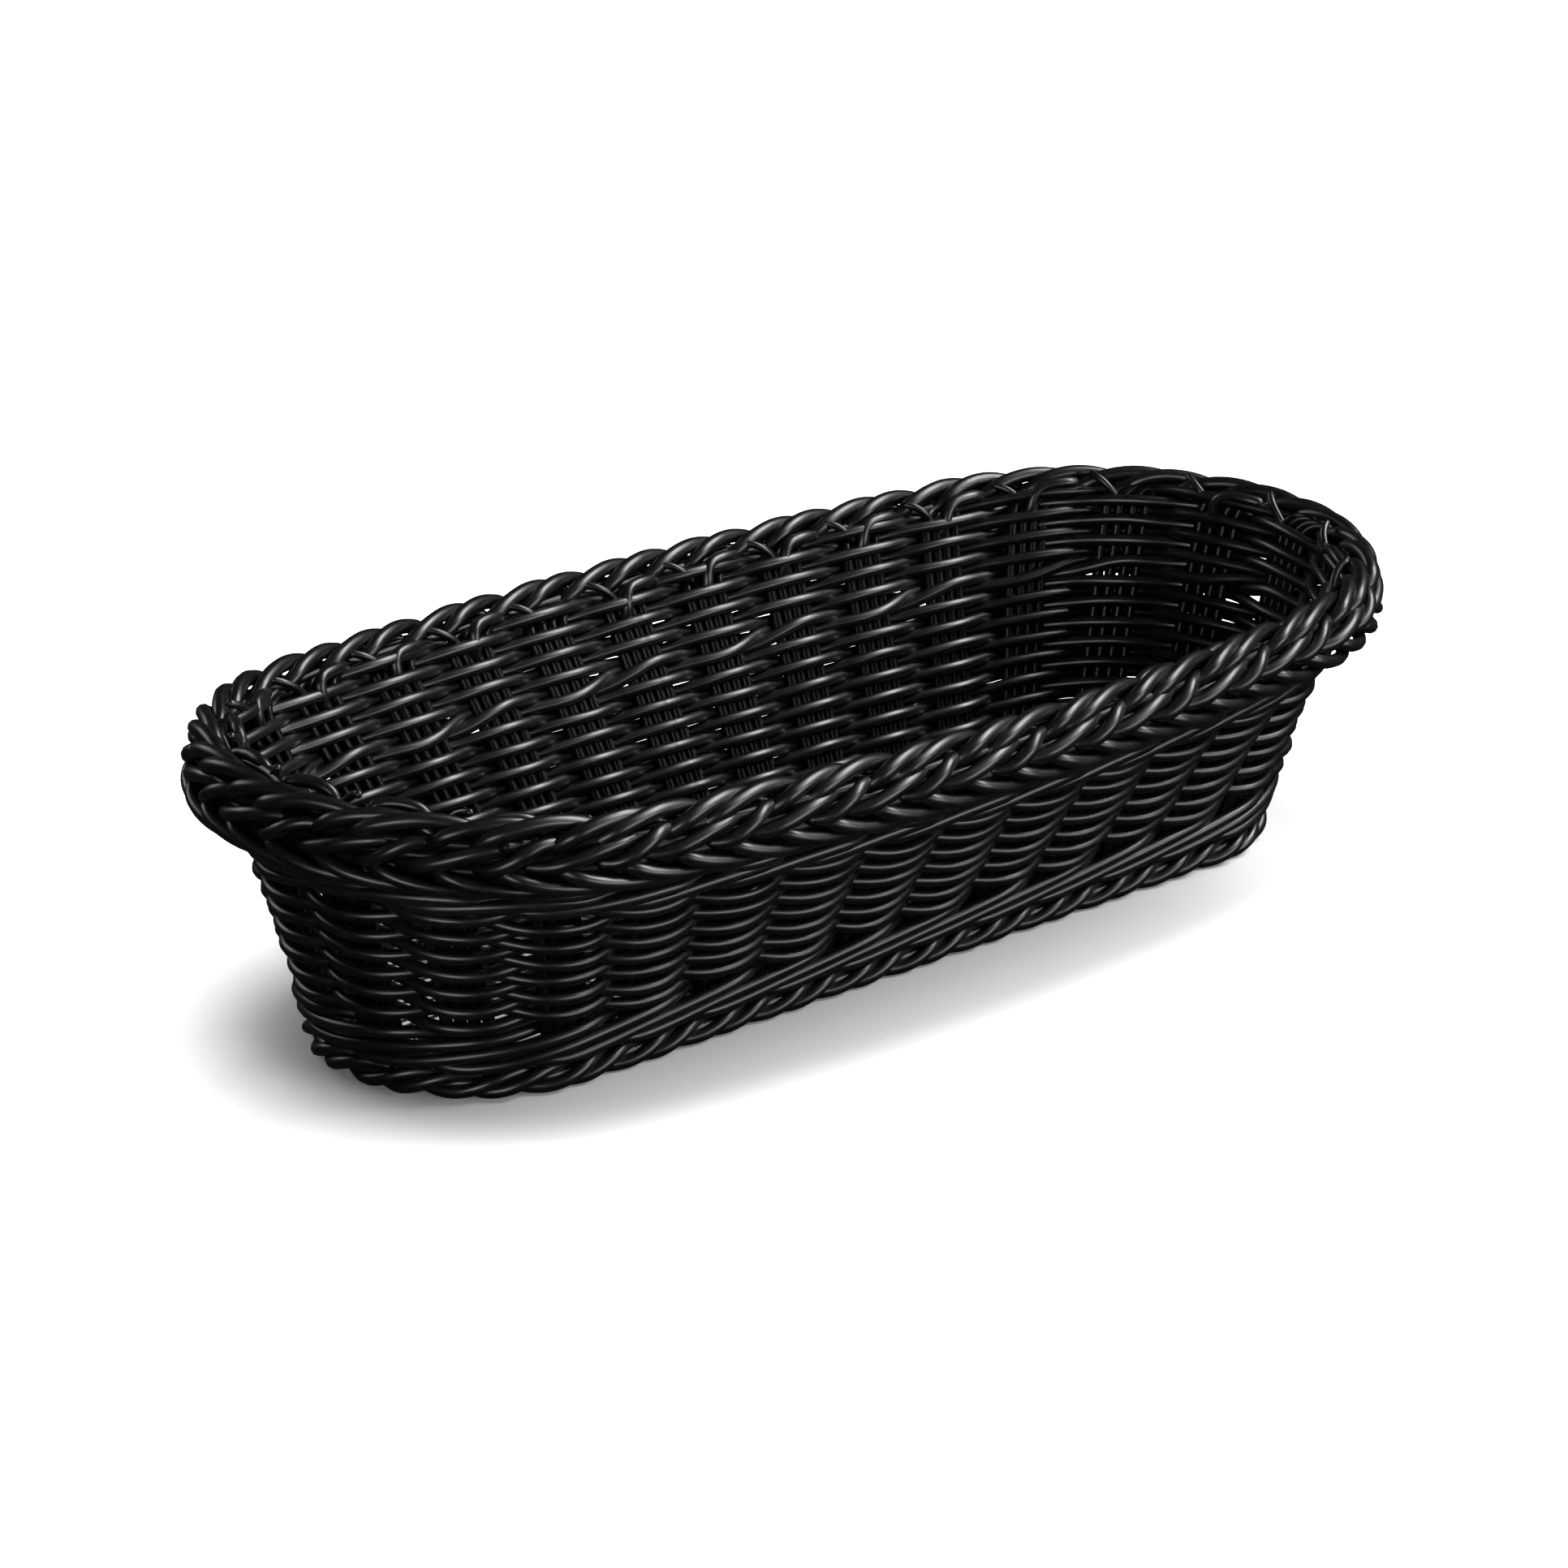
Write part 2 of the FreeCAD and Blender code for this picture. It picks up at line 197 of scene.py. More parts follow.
# --- plan outlines ----------------------------------------------------------------
class Oval:
    """A closed oval of two end arcs and two side arcs that meet tangentially."""

    def __init__(self, half_length, half_width, turn=END_ARC_ANGLE):
        reach = (half_length - half_width) / (math.sin(turn) + math.cos(turn) - 1.0)
        self.turn = turn
        self.end_radius = half_length - reach * math.cos(turn)
        self.end_centre = half_length - self.end_radius
        self.side_radius = half_width + reach * math.sin(turn)
        self.side_centre = self.side_radius - half_width
        self.side_length = self.side_radius * (math.pi / 2 - turn)
        self.quarter = self.side_length + self.end_radius * turn

    def side_point(self, travel):
        angle = math.pi / 2 - travel / self.side_radius
        x = self.side_radius * np.cos(angle)
        y = self.side_radius * np.sin(angle) - self.side_centre
        return x, y, angle

    def at(self, fraction):
        """Points and outward normals; 0 is the middle of the +Y side, going clockwise."""
        quarters = (np.asarray(fraction, float) % 1.0) * 4.0
        index = quarters.astype(int)
        travel = (quarters - index) * self.quarter
        travel = np.where(index % 2 == 1, self.quarter - travel, travel)
        side_x, side_y, side_angle = self.side_point(travel)
        end_angle = self.turn - (travel - self.side_length) / self.end_radius
        on_side = travel <= self.side_length
        x = np.where(on_side, side_x, self.end_centre + self.end_radius * np.cos(end_angle))
        y = np.where(on_side, side_y, self.end_radius * np.sin(end_angle))
        angle = np.where(on_side, side_angle, end_angle)
        sign_x = np.where((index == 0) | (index == 1), 1.0, -1.0)
        sign_y = np.where((index == 0) | (index == 3), 1.0, -1.0)
        level = np.zeros_like(x)
        point = np.stack([sign_x * x, sign_y * y, level], -1)
        normal = np.stack([sign_x * np.cos(angle), sign_y * np.sin(angle), level], -1)
        return point, normal


class Stadium(Oval):
    """An oval with straight sides and half-round ends."""

    def __init__(self, half_length, half_width):
        self.turn = math.pi / 2
        self.end_radius = half_width
        self.end_centre = half_length - half_width
        self.side_length = self.end_centre
        self.quarter = self.side_length + self.end_radius * self.turn
        self.half_width = half_width

    def side_point(self, travel):
        return travel, np.full_like(travel, self.half_width), np.full_like(travel, self.turn)


rim_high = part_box("rim_plait_middle")[1] / MM
FOOT_OVAL = Stadium(FOOT_HALF_LENGTH, FOOT_HALF_WIDTH)
TIP_OVAL = Oval(TIP_HALF_LENGTH, TIP_HALF_WIDTH)
RIM_OVAL = Oval(rim_high.x - RIM_HALF_THICKNESS, rim_high.y - RIM_HALF_THICKNESS)
RIM_Z = rim_high.z - RIM_DROP


def unit(vectors):
    return vectors / np.linalg.norm(vectors, axis=-1, keepdims=True)


def column(values, like):
    """Numbers as a column that scales one vector for each point."""
    return np.broadcast_to(np.asarray(values, float), np.shape(like))[..., None]


def wall_lines(stakes):
    """For places counted in stakes: foot of the slope, way up it, and its outward face."""
    fraction = np.asarray(stakes, float) / STAKES
    low, low_normal = FOOT_OVAL.at(fraction)
    high, high_normal = TIP_OVAL.at(fraction)
    low = low + UP * FOOT_Z
    high = high + UP * TIP_Z
    up = unit(high - low)
    out = unit(low_normal + high_normal)
    face = unit(out - up * np.sum(out * up, -1, keepdims=True))
    return low, up, face


def on_wall(stakes, climb, lift):
    """Points this far up the slope and this far off the middle of the wall."""
    low, up, face = wall_lines(stakes)
    return low + up * column(climb, stakes) + face * column(lift, stakes)


def beside_rim(stakes, across, height):
    """Points this far outwards from the middle of the rim's section, and this far above it."""
    centre, out = RIM_OVAL.at(np.asarray(stakes, float) / STAKES)
    rise = RIM_Z + RIM_END_RISE * (centre[..., 0] / rim_high.x) ** 2
    return centre + out * column(across, stakes) + UP * column(rise + height, stakes)


def on_rim(stakes, angle, lift):
    """Points on the rim's section: angle 0 faces out, 90 up; lift is off the rods' bed."""
    angle = np.radians(angle)
    across = (RIM_HALF_THICKNESS - RIM_BED + lift) * np.cos(angle)
    height = (RIM_HALF_HEIGHT - RIM_BED + lift) * np.sin(angle)
    return beside_rim(stakes, across, height)


# --- curves -------------------------------------------------------------------------
def smooth_curve(knots, samples):
    """A smooth curve through rows of numbers (Catmull-Rom)."""
    knots = np.asarray(knots, float)
    padded = np.vstack([2 * knots[0] - knots[1], knots, 2 * knots[-1] - knots[-2]])
    place = np.linspace(0, len(knots) - 1, samples)
    index = np.minimum(place.astype(int), len(knots) - 2)
    t = (place - index)[:, None]
    before, start, end, after = (padded[index + k] for k in range(4))
    return 0.5 * (
        2 * start
        + (end - before) * t
        + (2 * before - 5 * start + 4 * end - after) * t ** 2
        + (3 * start - before - 3 * end + after) * t ** 3
    )


def closed_wander(samples, knots, size):
    """Slow random drift that closes on itself, for hand-made unevenness."""
    values = np.array([random.uniform(-size, size) for _ in range(knots)])
    place = np.arange(samples) * knots / samples
    index = place.astype(int)
    t = place - index
    blend = t * t * (3 - 2 * t)
    return values[index % knots] * (1 - blend) + values[(index + 1) % knots] * blend


def open_wander(samples, knots, size):
    """Slow random drift from one end of a rod to the other."""
    values = [[random.uniform(-size, size)] for _ in range(knots)]
    return smooth_curve(values, samples)[:, 0]


# --- materials ------------------------------------------------------------------------
DARKEST_PLASTIC = (0.0004, 0.0004, 0.0005, 1)
PALEST_PLASTIC = (0.0024, 0.0023, 0.0025, 1)
TONE_SHARE = 0.3             # how much a rod's own tone counts beside the mottling
LINES_STRETCH = (0.06, 2.4, 2.4)      # long along the rod, fine round it
MOTTLE_STRETCH = (0.25, 0.6, 0.6)
DARKEST_BOARD = (0.84, 0.84, 0.84, 1)
PALEST_BOARD = (0.88, 0.88, 0.88, 1)


def new_material(name):
    """A material with its nodes, its links and its main shader."""
    material = bpy.data.materials.new(name)
    material.use_nodes = True
    nodes = material.node_tree.nodes
    return material, nodes, material.node_tree.links, nodes["Principled BSDF"]


def map_range(nodes, links, source, low, high):
    """A node that carries a 0 to 1 value over to low to high."""
    node = nodes.new("ShaderNodeMapRange")
    node.inputs["To Min"].default_value = low
    node.inputs["To Max"].default_value = high
    links.new(source, node.inputs["Value"])
    return node.outputs["Result"]


def stretched_noise(nodes, links, source, stretch, scale, detail):
    """Noise over places that are scaled by stretch first."""
    mapping = nodes.new("ShaderNodeMapping")
    mapping.inputs["Scale"].default_value = stretch
    noise = nodes.new("ShaderNodeTexNoise")
    noise.inputs["Scale"].default_value = scale
    noise.inputs["Detail"].default_value = detail
    links.new(source, mapping.inputs["Vector"])
    links.new(mapping.outputs["Vector"], noise.inputs["Vector"])
    return noise.outputs["Fac"]


def rod_material(name, smoothest, roughest, shine):
    """Black extruded plastic with fine drawing lines along each rod.

    Reads the rods' own attributes: rod_place, in mm along and across, and rod_tone, 0 to 1.
    """
    material, nodes, links, shader = new_material(name)
    place = nodes.new("ShaderNodeAttribute")
    place.attribute_name = "rod_place"
    tone = nodes.new("ShaderNodeAttribute")
    tone.attribute_name = "rod_tone"
    lines = stretched_noise(nodes, links, place.outputs["Vector"], LINES_STRETCH, 1.0, 4.0)
    mottle = stretched_noise(nodes, links, place.outputs["Vector"], MOTTLE_STRETCH, 1.0, 3.0)

    colour = nodes.new("ShaderNodeValToRGB")
    colour.color_ramp.elements[0].position = 0.3
    colour.color_ramp.elements[0].color = DARKEST_PLASTIC
    colour.color_ramp.elements[1].position = 0.75
    colour.color_ramp.elements[1].color = PALEST_PLASTIC
    mixed = nodes.new("ShaderNodeMath")
    mixed.operation = "MULTIPLY_ADD"
    mixed.inputs[1].default_value = TONE_SHARE
    links.new(tone.outputs["Fac"], mixed.inputs[0])
    links.new(map_range(nodes, links, mottle, -0.05, 0.85), mixed.inputs[2])
    links.new(mixed.outputs["Value"], colour.inputs["Fac"])
    links.new(colour.outputs["Color"], shader.inputs["Base Color"])

    links.new(map_range(nodes, links, mottle, smoothest, roughest), shader.inputs["Roughness"])
    shader.inputs["Specular IOR Level"].default_value = shine

    bump = nodes.new("ShaderNodeBump")
    bump.inputs["Strength"].default_value = 0.25
    bump.inputs["Distance"].default_value = 0.0001
    links.new(lines, bump.inputs["Height"])
    links.new(bump.outputs["Normal"], shader.inputs["Normal"])
    return material


def floor_material():
    """Pale matt board with the faintest mottling."""
    material, nodes, links, shader = new_material("pale_board")
    place = nodes.new("ShaderNodeTexCoord")
    grain = stretched_noise(nodes, links, place.outputs["Object"], (1, 1, 1), 3.0, 2.0)
    colour = nodes.new("ShaderNodeValToRGB")
    colour.color_ramp.elements[0].color = DARKEST_BOARD
    colour.color_ramp.elements[1].color = PALEST_BOARD
    links.new(grain, colour.inputs["Fac"])
    links.new(colour.outputs["Color"], shader.inputs["Base Color"])
    shader.inputs["Roughness"].default_value = 0.9
    return material


ROD_MATERIAL = rod_material("satin_black_rod", 0.27, 0.40, 0.5)
# A shaded copy of the same black plastic: the same colours with far less shine. It is painted shade
# for the stakes and the rim's core, which lie in shade between the rows and under the plait.
SHADED_ROD_MATERIAL = rod_material("shaded_black_rod", 0.26, 0.36, 0.15)


# --- rods -----------------------------------------------------------------------------
class Rods:
    """Rods that together make one piece, as one mesh of tubes."""

    def __init__(self):
        self.points = []
        self.quads = []
        self.caps = []
        self.rod_places = []
        self.tones = []
        self.point_count = 0

    def add(self, path, diameter=ROD, closed=False, sides=SIDES):
        """Sweeps a tube along the path; open rods get rounded ends."""
        path = np.asarray(path, float)
        radius = np.broadcast_to(np.asarray(diameter, float) / 2, len(path)).copy()
        if closed:
            tangents = unit(np.roll(path, -1, 0) - np.roll(path, 1, 0))
        else:
            path, radius = self.rounded_ends(path, radius)
            tangents = unit(np.gradient(path, axis=0))
        normals = self.transport(tangents, closed)
        sideways = np.cross(tangents, normals)
        turns = np.arange(sides) * 2 * math.pi / sides
        ring = normals[:, None] * np.cos(turns)[:, None] + sideways[:, None] * np.sin(turns)[:, None]
        self.points.append((path[:, None] + ring * radius[:, None, None]).reshape(-1, 3))
        steps = np.linalg.norm(np.diff(path, axis=0), axis=1)
        along = np.concatenate([[0], np.cumsum(steps)]) + random.uniform(0, LARGEST_START)
        place = np.empty((len(path), sides, 3))
        place[..., 0] = along[:, None]
        place[..., 1] = np.cos(turns) * radius[:, None]
        place[..., 2] = np.sin(turns) * radius[:, None]
        self.rod_places.append(place.reshape(-1, 3))
        self.tones.append(np.full(len(path) * sides, random.random()))
        self.join_rings(len(path), sides, closed)
        self.point_count += len(path) * sides

    @staticmethod
    def rounded_ends(path, radius):
        """Adds rings that close in, so that both ends are domed."""
        dome = np.radians([80, 55, 28])
        start_way = unit(path[0] - path[1])
        end_way = unit(path[-1] - path[-2])
        start = path[0] + start_way * (np.sin(dome) * radius[0])[:, None]
        end = path[-1] + end_way * (np.sin(dome[::-1]) * radius[-1])[:, None]
        sizes = [np.cos(dome) * radius[0], radius, np.cos(dome[::-1]) * radius[-1]]
        return np.vstack([start, path, end]), np.concatenate(sizes)

    @staticmethod
    def transport(tangents, closed):
        """Normals carried along the path without twisting."""
        first = np.array([0.0, 0.0, 1.0])
        if abs(tangents[0] @ first) > 0.9:
            first = np.array([1.0, 0.0, 0.0])
        normal = unit(first - tangents[0] * (first @ tangents[0]))
        normals = [normal]
        for tangent in tangents[1:]:
            normal = unit(normal - tangent * (normal @ tangent))
            normals.append(normal)
        normals = np.array(normals)
        if closed:
            last = unit(normals[-1] - tangents[0] * (normals[-1] @ tangents[0]))
            slip = math.atan2(np.cross(normals[0], last) @ tangents[0], normals[0] @ last)
            back = -slip * np.arange(len(tangents)) / len(tangents)
            sideways = np.cross(tangents, normals)
            normals = normals * np.cos(back)[:, None] + sideways * np.sin(back)[:, None]
        return normals

    def join_rings(self, rings, sides, closed):
        """Faces between neighbouring rings, and a cap on both ends of an open rod."""
        ring = np.arange(rings if closed else rings - 1)[:, None] * sides
        side = np.arange(sides)
        following = (side + 1) % sides
        next_ring = (ring + sides) % (rings * sides)
        quads = np.stack([ring + side, ring + following, next_ring + following, next_ring + side], -1)
        self.quads.append(quads.reshape(-1, 4) + self.point_count)
        if not closed:
            first = [self.point_count + k for k in range(sides)]
            self.caps.append(first[::-1])
            self.caps.append([k + (rings - 1) * sides for k in first])

    def make(self, name, nodes, material=ROD_MATERIAL):
        """The mesh object, riding on the basket and standing for its CAD nodes."""
        points = np.vstack(self.points) * MM
        faces = np.vstack(self.quads).tolist() + self.caps
        mesh = bpy.data.meshes.new(name)
        mesh.from_pydata(points.tolist(), [], faces)
        place = mesh.attributes.new("rod_place", "FLOAT_VECTOR", "POINT")
        place.data.foreach_set("vector", np.vstack(self.rod_places).astype(np.float32).ravel())
        tone = mesh.attributes.new("rod_tone", "FLOAT", "POINT")
        tone.data.foreach_set("value", np.concatenate(self.tones).astype(np.float32))
        mesh.polygons.foreach_set("use_smooth", [True] * len(mesh.polygons))
        mesh.materials.append(material)
        piece = bpy.data.objects.new(name, mesh)
        bpy.context.scene.collection.objects.link(piece)
        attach(piece, "root")
        if nodes:
            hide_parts(*nodes)


# --- weaving on the wall ------------------------------------------------------------------
def back_share(stakes):
    """1 at the middle of the +Y side, -1 at the middle of the -Y side."""
    return np.cos(2 * math.pi * np.asarray(stakes) / STAKES)


def row_climb(stakes, row):
    """Height up the slope of a plain row, counted from 0."""
    back = back_share(stakes)
    start = FIRST_ROW_CLIMB - FRONT_START_EXTRA * back
    return start + row * (ROW_STEP + BACK_STEP_EXTRA * back)


def row_wave(stakes, row):
    """1 where a rod passes outside or over a stake, -1 where it passes inside or under."""
    wave = np.cos(math.pi * (stakes + row + 1))
    return np.tanh(ROW_BOW * wave) / math.tanh(ROW_BOW)


def plain_row(name, row, place, nodes):
    """A weaver over one stake and under the next, all the way round, at the place of a row."""
    samples = STAKES * ROW_SAMPLES
    stakes = np.arange(samples) / ROW_SAMPLES
    drift = closed_wander(samples, STAKES, ROW_DRIFT)
    bulge = 1 + closed_wander(samples, STAKES, ROW_BULGE)
    climb = row_climb(stakes, place) + closed_wander(samples, 2 * STAKES, ROW_WANDER)
    thickness = ROD + closed_wander(samples, STAKES, ROW_THICKENING)
    rods = Rods()
    lift = ROW_LIFT * row_wave(stakes, row) * bulge
    rods.add(on_wall(stakes + drift, climb, lift), thickness, closed=True)
    rods.make(name, nodes)


def weaver_rows(first, count, skipped):
    """Plain rows with a node each, above this many skipped places."""
    for row in range(first, first + count):
        name = f"weaver_row_{row + 1:02d}"
        plain_row(name, row, row + skipped, [name])


def wale_loop(knots, period, first, rounds, base):
    """One rod of a wale, closed after going round the basket several times."""
    knots = np.array(knots)
    strokes = STAKES * rounds // period
    laid = [knots + [period * k, 0, 0] for k in range(strokes)]
    laid.append(laid[0][:1] + [period * strokes, 0, 0])
    path = smooth_curve(np.vstack(laid), strokes * WALE_SAMPLES * period)[:-1]
    stakes = path[:, 0] + first
    # inside, a stroke is a row higher at an even stake than at an odd one, like the rows'
    inside = (1 - path[:, 2] / ROW_LIFT) / 2
    nudge = inside * ROW_STEP / 2 * np.cos(math.pi * stakes)
    wobble = closed_wander(len(path), strokes * period, WALE_WANDER)
    return on_wall(stakes, path[:, 1] + base(stakes) + nudge + wobble, path[:, 2])


def bottom_wale():
    """Two rods that go round twice, so that four strokes pass every stake.

    Each passes outside three stakes and inside one.
    """
    rods = Rods()
    for first in (0, 1):
        path = wale_loop(BOTTOM_WALE, 4, first, 2, np.zeros_like)
        rods.add(path, closed=True)
    rods.make("bottom_wale", [f"bottom_wale_{k + 1}" for k in range(4)])


def top_wale_base(stakes):
    return row_climb(stakes, PLAIN_ROWS_BELOW) - TOP_WALE_DROP


def top_wale():
    """Three rods that each pass outside two stakes and inside one."""
    rods = Rods()
    for first in range(3):
        path = wale_loop(TOP_WALE, 3, first, 1, top_wale_base)
        rods.add(path, TOP_WALE_ROD, closed=True)
    rods.make("top_wale", ["top_wale_1", "top_wale_2"])


# --- stakes --------------------------------------------------------------------------------
def stake_rods(stake):
    """Four rods side by side that bend over into the rim at the top."""
    rods = Rods()
    climb = np.linspace(STAKE_FOOT, STAKE_TOP, STAKE_SAMPLES)
    spread = 1 + STAKE_SPREAD * climb / STAKE_TOP
    just_beside = stake + 0.01
    low, up, face = wall_lines(np.array([stake, just_beside]))
    across = unit(low[1] - low[0])
    turn = up[0] * STAKE_TURN[:, :1] + face[0] * STAKE_TURN[:, 1:2] + across * STAKE_TURN[:, 2:]
    for sideways in SIDE_BY_SIDE:
        wobble = open_wander(len(climb), 6, STAKE_WOBBLE)
        path = low[0] + up[0] * climb[:, None] + across * (sideways * spread + wobble)[:, None]
        path = smooth_curve(np.vstack([path, path[-1] + turn]), STAKE_ROD_SAMPLES)
        rods.add(path, STICK_ROD, sides=HIDDEN_SIDES)
    name = f"stake_{stake + 1:02d}"
    # The stake rods get the shaded copy of the plastic: painted shade between the rows.
    rods.make(name, ["side_" + name], SHADED_ROD_MATERIAL)


# --- foot border -----------------------------------------------------------------------------
def foot_border():
    """A three-strand rope round a core, that the basket stands on."""
    low, high = (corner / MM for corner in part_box("foot_border"))
    fraction = np.arange(FOOT_SAMPLES) / FOOT_SAMPLES
    centre, out = FOOT_OVAL.at(fraction)
    half_width = high.y - FOOT_HALF_WIDTH - FOOT_STRAND / 2
    height = (high.z - low.z) / 2
    half_height = height - FOOT_STRAND / 2 - FOOT_CLEAR
    rods = Rods()
    for strand in range(FOOT_STRANDS):
        angle = 2 * math.pi * (fraction * FOOT_TURNS - strand / FOOT_STRANDS)
        angle = angle + FOOT_LAY * np.cos(angle / 2 + strand * math.pi)
        swell = closed_wander(FOOT_SAMPLES, 2 * FOOT_TURNS, FOOT_SWELL)
        across = (half_width + swell) * np.cos(-angle)
        rise = height + (half_height + swell) * np.sin(-angle)
        rods.add(centre + out * across[:, None] + UP * rise[:, None], FOOT_STRAND, closed=True)
    rods.add(centre + UP * height, FOOT_STRAND, closed=True, sides=FOOT_CORE_SIDES)
    rods.make("foot_border_rope", ["foot_border"])


# --- rim ---------------------------------------------------------------------------------------
def uneven_stroke():
    """A share that makes one stroke a little thinner or fatter."""
    return random.uniform(STROKE_THINNEST, STROKE_FATTEST)


def plait_strokes(name, node, strokes, diameter):
    """Rods over the rim: for every stake, one of each stroke."""
    rods = Rods()
    for stake in range(STAKES):
        for stroke in strokes:
            curve = smooth_curve(stroke, STROKE_SAMPLES)
            stakes = curve[:, 0] + stake + random.uniform(-STROKE_SHIFT, STROKE_SHIFT)
            angle = curve[:, 1] + random.uniform(-STROKE_TILT, STROKE_TILT)
            size = diameter * uneven_stroke()
            rods.add(on_rim(stakes, angle, curve[:, 2]), size)
    rods.make(name, [node])


def rim_core():
    """The stakes' long ends, gathered inside the rim under its plait."""
    rods = Rods()
    stakes = np.arange(STAKES * CORE_SAMPLES) / CORE_SAMPLES
    for across, height in CORE:
        wander = closed_wander(len(stakes), 2 * STAKES, CORE_WANDER)
        path = beside_rim(stakes, across + wander, height + wander)
        rods.add(path, CORE_ROD, closed=True, sides=HIDDEN_SIDES)
    # The core gets the shaded copy of the plastic: painted shade under the plait.
    rods.make("rim_core", (), SHADED_ROD_MATERIAL)


def outer_strokes():
    """Rods that leave the wall under the rim and rise into the plait, two for every stake."""
    rods = Rods()
    for half_stake in range(2 * STAKES):
        curve = smooth_curve(OUTER, STROKE_SAMPLES)
        stakes = curve[:, 0] + half_stake / 2 + random.uniform(-STROKE_SHIFT, STROKE_SHIFT)
        height = curve[:, 2] + random.uniform(-OUTER_WANDER, OUTER_WANDER)
        rods.add(beside_rim(stakes, curve[:, 1], height), OUTER_ROD * uneven_stroke())
    rods.make("rim_outer_strokes", ["rim_plait_outer"])


def stake_tails():
    """Short ends beside the stakes inside, bent over into the weave under the rim."""
    rods = Rods()
    tail = smooth_curve(TAIL, TAIL_SAMPLES)
    slant = smooth_curve(SLANT, SLANT_SAMPLES)
    for stake in range(STAKES):
        drop = random.uniform(*TAIL_DROP)
        shift = stake + random.uniform(*TAIL_SHIFT)
        if random.random() < TAIL_SHARE:
            rods.add(on_wall(tail[:, 0] + shift, tail[:, 1] + drop, tail[:, 2]))
        rods.add(on_wall(slant[:, 0] + shift, slant[:, 1], slant[:, 2]), SLANT_ROD)
    rods.make("stake_tails", ())


# --- base ---------------------------------------------------------------------------------------
def cross_stick_places():
    """Places of the cross sticks along X: level with the middle stakes of a long side."""
    first = -(CROSS_STICKS - 1) // 2
    return FOOT_OVAL.at((np.arange(CROSS_STICKS) + first) / STAKES)[0][:, 0]


def base_cross_sticks():
    """Flat four-rod sticks across the basket."""
    rods = Rods()
    reach = FOOT_HALF_WIDTH - BASE_INSET
    y = np.linspace(-reach, reach, CROSS_STICK_SAMPLES)
    for x in cross_stick_places():
        for sideways in SIDE_BY_SIDE:
            bow = random.uniform(-CROSS_STICK_BOW, CROSS_STICK_BOW) * np.cos(y / reach * math.pi / 2)
            path = np.stack([x + sideways + bow, y, np.full_like(y, BASE_Z)], -1)
            rods.add(path, STICK_ROD, sides=HIDDEN_SIDES)
    rods.make("base_cross_stick_rods", ["base_cross_sticks"])


def base_long_rods():
    """Single rods lengthwise, over one cross stick and under the next."""
    rods = Rods()
    sticks = cross_stick_places()
    half_width = FOOT_HALF_WIDTH - BASE_INSET
    for number in range(BASE_RODS):
        y = (number - (BASE_RODS - 1) / 2) * BASE_ROD_PITCH
        edge = min(abs(y) + ROD / 2, half_width)
        reach = FOOT_HALF_LENGTH - FOOT_HALF_WIDTH + math.sqrt(half_width ** 2 - edge ** 2)
        x = np.linspace(-reach, reach, BASE_ROD_SAMPLES)
        place = np.interp(x, sticks, np.arange(CROSS_STICKS))
        fade = np.clip(1 - (np.abs(x) - sticks[-1]) / BASE_FADE, 0, 1)
        rise = BASE_Z + ROW_LIFT * fade * row_wave(place, number)
        drift = open_wander(len(x), 8, BASE_DRIFT)
        rods.add(np.stack([x, y + drift, rise], -1), BASE_ROD)
    rods.make("base_woven_rods", ["base_long_rods"])


def build_basket():
    foot_border()
    base_cross_sticks()
    base_long_rods()
    for stake in range(STAKES):
        stake_rods(stake)
    bottom_wale()
    weaver_rows(0, PLAIN_ROWS_BELOW, 0)
    top_wale()
    weaver_rows(PLAIN_ROWS_BELOW, PLAIN_ROWS_BEHIND, ROWS_IN_TOP_WALE)
    for k in range(EXTRA_ROWS):
        row = PLAIN_ROWS_BELOW + PLAIN_ROWS_BEHIND + k
        plain_row(f"rim_row_{k + 1}", row, row + ROWS_IN_TOP_WALE, ())
    rim_core()
    plait_strokes("rim_inner_strokes", "rim_plait_inner", (INNER_LONG, INNER_SHORT), INNER_ROD)
    plait_strokes("rim_middle_strokes", "rim_plait_middle", (MIDDLE_LONG, MIDDLE_SHORT), MIDDLE_ROD)
    outer_strokes()
    stake_tails()


# --- floor, light and camera ----------------------------------------------------------------
FLOOR_HALF = 8.0
LIGHT_AIM = Vector((0, 0, 0.05))
SOFTBOXES = [                # name, place, width, length, watts, way that the length lies
    ("key_light", (3.5, -1.7, 4.0), 1.5, 4.2, 430, (0, 0.92, 0.39)),
    ("front_light", (2.0, -4.7, 1.1), 4.5, 1.8, 150, (0, 0, 1)),
    ("left_light", (-4.6, -2.6, 1.3), 3.0, 1.8, 120, (0, 0, 1)),
    ("back_light", (-1.2, 4.8, 2.2), 3.0, 1.6, 45, (0, 0, 1)),
]
TOP_FILL = ("top_fill", (-0.3, 0.3, 5.0), 3.4, 3.4, 400, (0, 1, 0))
WORLD_STRENGTH = 0.02


def make_floor():
    """A board that isn't mirrored in the rods, because that would turn them grey."""
    corners = [(x * FLOOR_HALF, y * FLOOR_HALF, 0) for x, y in ((-1, -1), (1, -1), (1, 1), (-1, 1))]
    mesh = bpy.data.meshes.new("floor")
    mesh.from_pydata(corners, [], [(0, 1, 2, 3)])
    mesh.materials.append(floor_material())
    floor = bpy.data.objects.new("floor", mesh)
    bpy.context.scene.collection.objects.link(floor)
    floor.visible_glossy = False


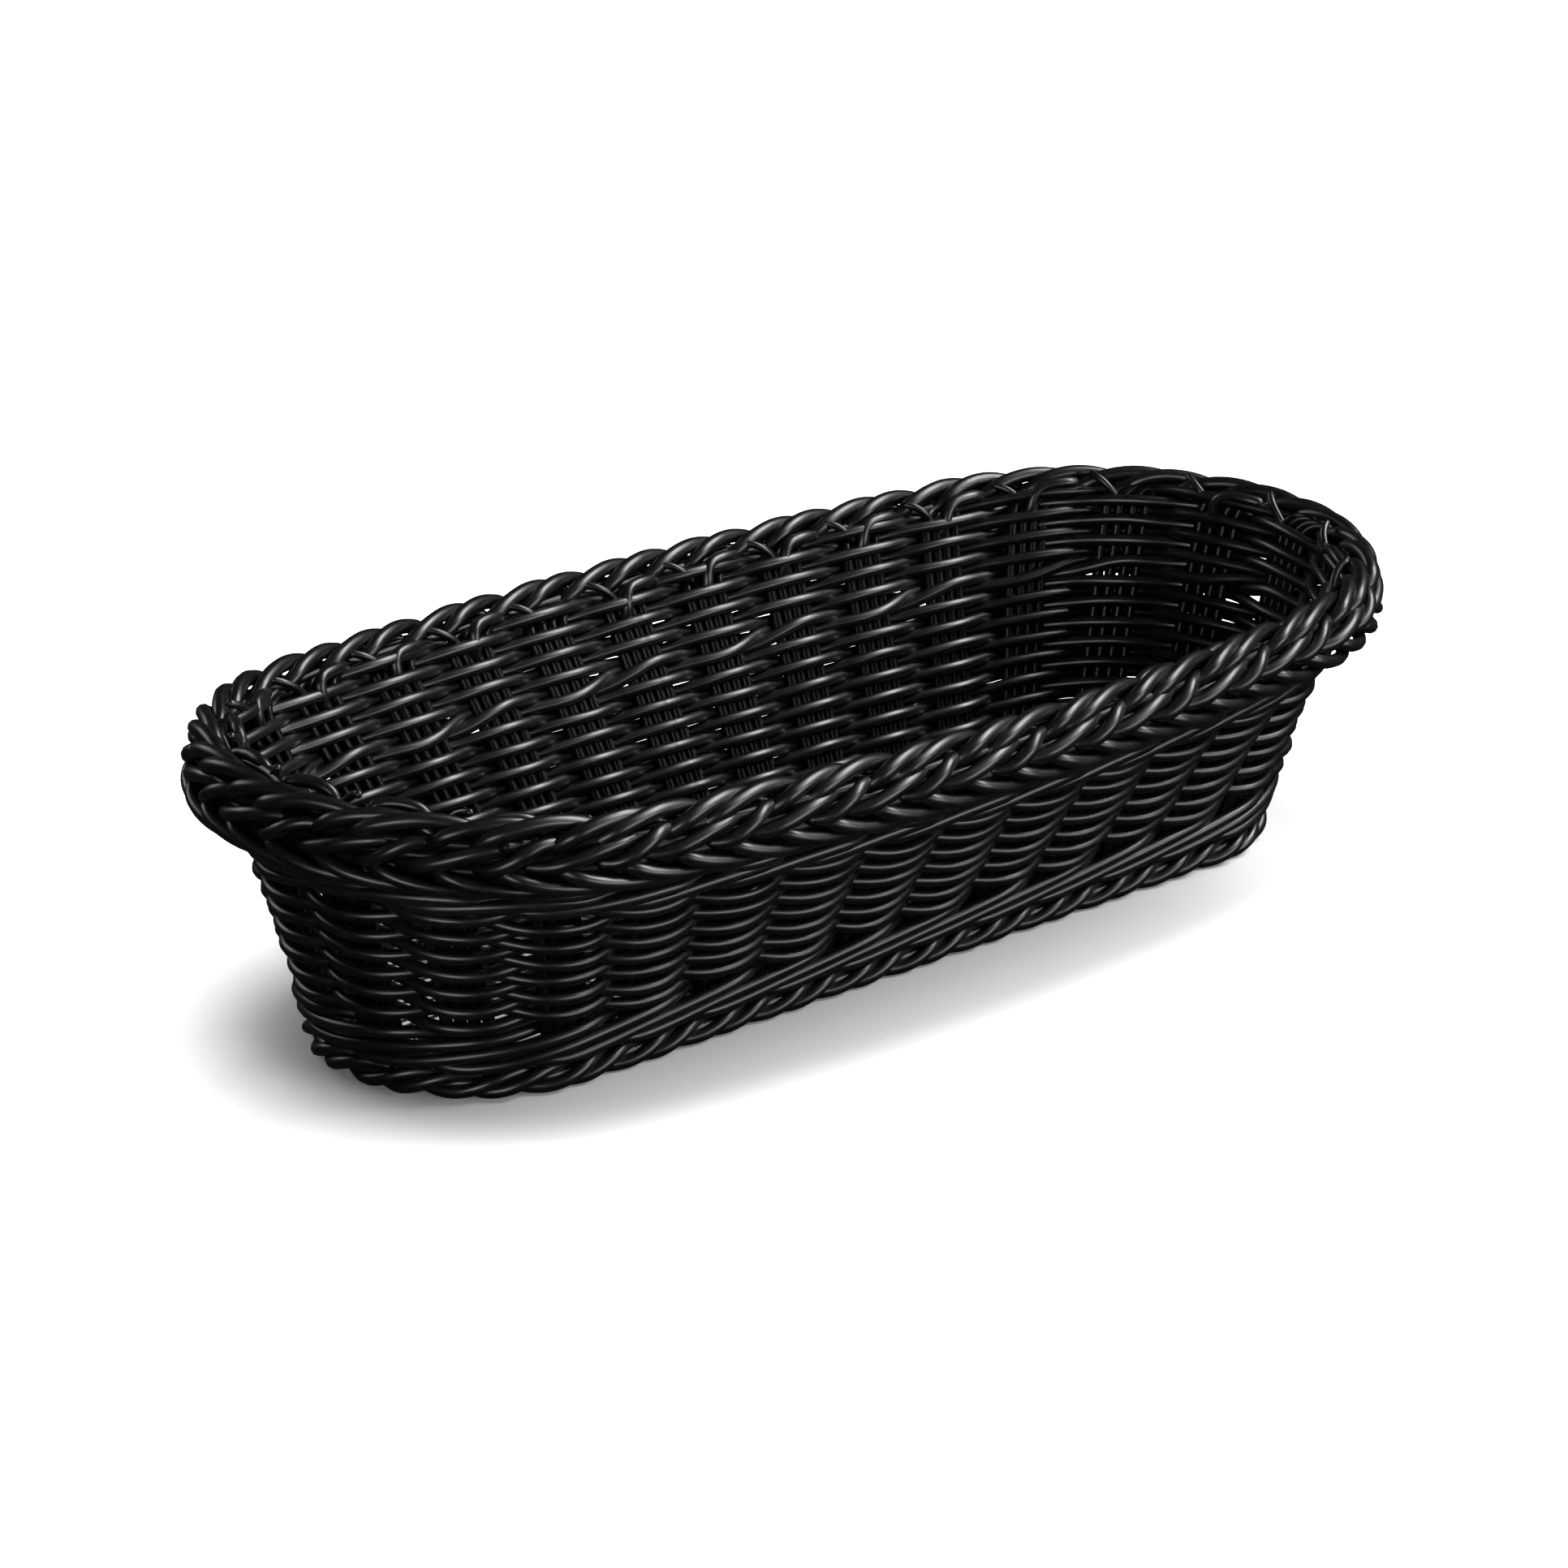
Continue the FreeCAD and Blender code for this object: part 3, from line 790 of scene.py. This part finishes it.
def softbox(name, place, width, length, power, lengthways):
    """A rectangular area light that faces the basket, its long side along lengthways."""
    light = bpy.data.lights.new(name, "AREA")
    light.shape = "RECTANGLE"
    light.size = width
    light.size_y = length
    light.energy = power
    lamp = bpy.data.objects.new(name, light)
    bpy.context.scene.collection.objects.link(lamp)
    away = (Vector(place) - LIGHT_AIM).normalized()
    across = Vector(lengthways).cross(away).normalized()
    turned = Matrix((across, away.cross(across), away)).transposed()
    lamp.matrix_world = Matrix.Translation(place) @ turned.to_4x4()
    return lamp


def make_lights():
    """Large soft lights; the one straight above lights the floor and isn't mirrored in the rods."""
    for sizes in SOFTBOXES:
        softbox(*sizes)
    fill = softbox(*TOP_FILL)
    fill.visible_glossy = False
    world = bpy.data.worlds.new("studio")
    world.use_nodes = True
    background = world.node_tree.nodes["Background"]
    background.inputs["Color"].default_value = (1, 1, 1, 1)
    background.inputs["Strength"].default_value = WORLD_STRENGTH
    bpy.context.scene.world = world
    bpy.context.scene.view_settings.view_transform = "Standard"


CAMERA_AZIMUTH = math.radians(-42.51)      # round the basket, from the front
CAMERA_ELEVATION = math.radians(20.27)
CAMERA_ROLL = math.radians(0.42)
CAMERA_DISTANCE = 1.57112
CAMERA_AIM = Vector((0, 0, 0.040))
CAMERA_SIDESTEP = -0.00726                 # moves the camera to its own right
CAMERA_LIFT = 0.00338                      # and up, without turning it
CAMERA_LENS = 125.61                       # mm
SENSOR = 36.0                              # mm


def make_camera():
    """The camera at the photograph's viewing angle."""
    level = math.cos(CAMERA_ELEVATION)
    back = Vector((
        math.sin(CAMERA_AZIMUTH) * level,
        -math.cos(CAMERA_AZIMUTH) * level,
        math.sin(CAMERA_ELEVATION),
    ))
    right = Vector((math.cos(CAMERA_AZIMUTH), math.sin(CAMERA_AZIMUTH), 0))
    up = back.cross(right)
    rolled_right = right * math.cos(CAMERA_ROLL) + up * math.sin(CAMERA_ROLL)
    rolled_up = up * math.cos(CAMERA_ROLL) - right * math.sin(CAMERA_ROLL)
    place = CAMERA_AIM + back * CAMERA_DISTANCE + right * CAMERA_SIDESTEP + up * CAMERA_LIFT
    data = bpy.data.cameras.new("camera")
    data.lens = CAMERA_LENS
    data.sensor_width = SENSOR
    camera = bpy.data.objects.new("camera", data)
    bpy.context.scene.collection.objects.link(camera)
    turned = Matrix((rolled_right, rolled_up, back)).transposed()
    camera.matrix_world = Matrix.Translation(place) @ turned.to_4x4()
    bpy.context.scene.camera = camera


make_camera()
build_basket()
make_floor()
make_lights()
